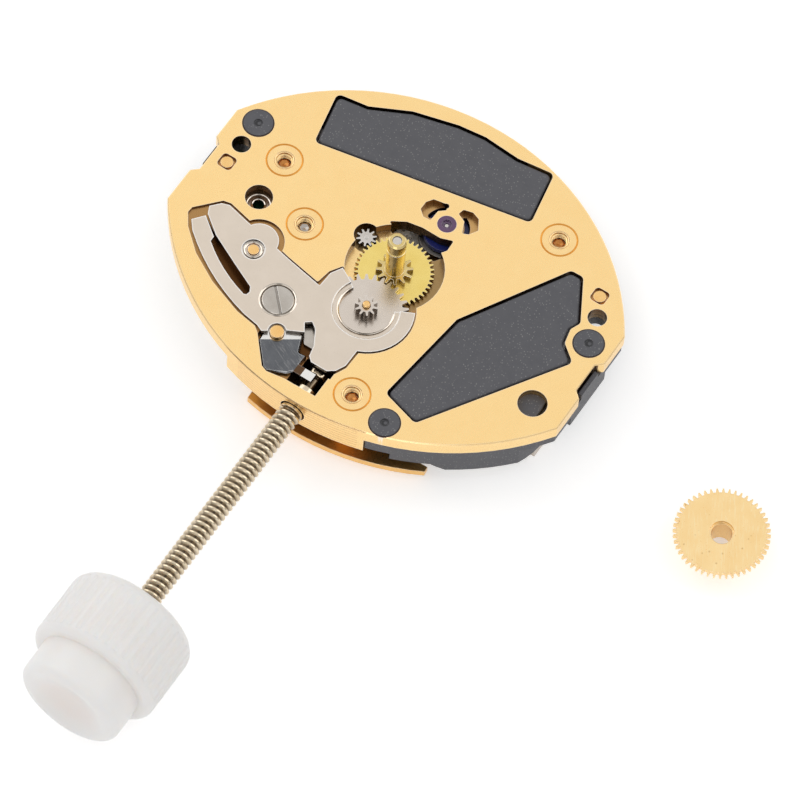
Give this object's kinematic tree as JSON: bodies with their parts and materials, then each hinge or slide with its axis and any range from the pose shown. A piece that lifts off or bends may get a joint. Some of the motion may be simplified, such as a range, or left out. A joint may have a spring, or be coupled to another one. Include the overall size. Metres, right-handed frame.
{
  "type": "quartz watch movement",
  "caption": "Small oval quartz watch movement with its crown drawn out on a long threaded stem for hand setting, hand post bare, and its hour wheel lying loose beside it.",
  "frame": {"origin": "the hands' axis where it crosses the top face of the main plate", "axes": "+Z out of the dial side along the hand post, +X outward along the winding stem, +Y towards 12 o'clock"},
  "size_m": [0.0296, 0.0267, 0.0054],
  "materials": {
    "gold_plate": "satin",
    "gold_back": "satin",
    "tube_brass": "turned",
    "pin_gold": "polished",
    "wheel_brass": "satin",
    "hour_brass": "satin",
    "post_brass": "polished",
    "frame_plastic": "fine grain",
    "steel": "turned",
    "stem_steel": "turned",
    "polished_steel": "polished",
    "minute_steel": "polished",
    "nickel_cover": "satin",
    "nickel_back": "brushed",
    "ruby": "polished",
    "white_gear": "moulded",
    "crown_plastic": "milky",
    "blue_plastic": "moulded",
    "magnet": "ground",
    "soft_iron": "stamped",
    "copper_wire": "enamelled",
    "board": "lacquered",
    "resin": "smooth",
    "can": "drawn",
    "cell_steel": "drawn"
  },
  "bodies": {
    "plate": {"main_plate": "gold_plate", "plastic_frame": "frame_plastic", "tube_nuts": "tube_brass", "back_screws": "steel", "foot_clamps": "pin_gold", "rotor_jewel": "ruby", "train_bridge": "gold_back", "bridge_jewels": "ruby", "circuit_cover": "nickel_back", "circuit_board": "board", "quartz_crystal": "can", "chip": "resin", "contact_ring": "nickel_back", "coil_core": "soft_iron", "coil_winding": "copper_wire", "stator": "soft_iron", "button_cell": "cell_steel", "cell_clamp": "nickel_back", "minute_post": "pin_gold", "cover_plate": "nickel_cover", "cover_screw": "steel", "guide_pin": "pin_gold", "lever_pin": "pin_gold"},
    "centre": {"centre_wheel": "wheel_brass", "centre_arbor": "steel"},
    "cannon": {"cannon_pinion": "post_brass"},
    "third": {"third_pinion": "steel", "third_wheel": "wheel_brass"},
    "inter": {"inter_wheel": "white_gear", "inter_arbor": "steel"},
    "rotor": {"rotor_body": "blue_plastic", "rotor_magnet": "magnet", "rotor_arbor": "steel"},
    "minute": {"minute_wheel": "minute_steel"},
    "hour": {"hour_wheel": "hour_brass"},
    "lever": {"setting_lever": "polished_steel"},
    "yoke": {"yoke": "steel"},
    "pinion": {"sliding_pinion": "steel"},
    "stem": {"stem": "stem_steel", "crown": "crown_plastic"}
  },
  "joints": [
    {"name": "inter_turn", "type": "hinge", "parent": "plate", "child": "inter", "pos_m": [-0.0021, -0.0009, -0.0013], "axis": [0, 0, 1], "continuous": true},
    {"name": "rotor_turn", "type": "hinge", "parent": "plate", "child": "rotor", "pos_m": [-0.00276, 0.0006, -0.001], "axis": [0, 0, 1], "continuous": true},
    {"name": "third_turn", "type": "hinge", "parent": "plate", "child": "third", "pos_m": [-0.00063, -0.00168, -0.001], "axis": [0, 0, 1], "continuous": true},
    {"name": "centre_turn", "type": "hinge", "parent": "plate", "child": "centre", "pos_m": [0, 0, 0], "axis": [0, 0, 1], "continuous": true},
    {"name": "yoke_shift", "type": "slide", "parent": "plate", "child": "yoke", "axis": [1, 0, 0], "range_m": [0, 0.0003001]},
    {"name": "crown_turn", "type": "hinge", "parent": "yoke", "child": "pinion", "pos_m": [0.004, 0, -0.00072], "axis": [1, 0, 0], "continuous": true},
    {"name": "crown_pull", "type": "slide", "parent": "pinion", "child": "stem", "axis": [1, 0, 0], "range_m": [-0.00075, 0]},
    {"name": "lever_swing", "type": "hinge", "parent": "plate", "child": "lever", "pos_m": [0.00488, -0.00215, -0.0002], "axis": [0, 0, 1], "range_deg": [0, 12.01]},
    {"name": "minute_turn", "type": "hinge", "parent": "plate", "child": "minute", "pos_m": [0.00215, 0.0001, -0.0002], "axis": [0, 0, 1], "continuous": true},
    {"name": "cannon_turn", "type": "hinge", "parent": "plate", "child": "cannon", "pos_m": [0, 0, 0], "axis": [0, 0, 1], "continuous": true},
    {"name": "hour_lift", "type": "slide", "parent": "plate", "child": "hour", "axis": [0.0329, 0, 0.9995], "range_m": [0, 0.005]}
  ],
  "couplings": [
    {"joint": "rotor_turn", "follows": "inter_turn", "ratio": -5},
    {"joint": "third_turn", "follows": "inter_turn", "ratio": -0.25},
    {"joint": "centre_turn", "follows": "inter_turn", "ratio": 0.055556},
    {"joint": "minute_turn", "follows": "crown_turn", "ratio": -0.33333},
    {"joint": "cannon_turn", "follows": "crown_turn", "ratio": 0.83333},
    {"joint": "yoke_shift", "follows": "crown_pull", "ratio": -0.4},
    {"joint": "lever_swing", "follows": "crown_pull", "rad_per_m": -279.25}
  ]
}
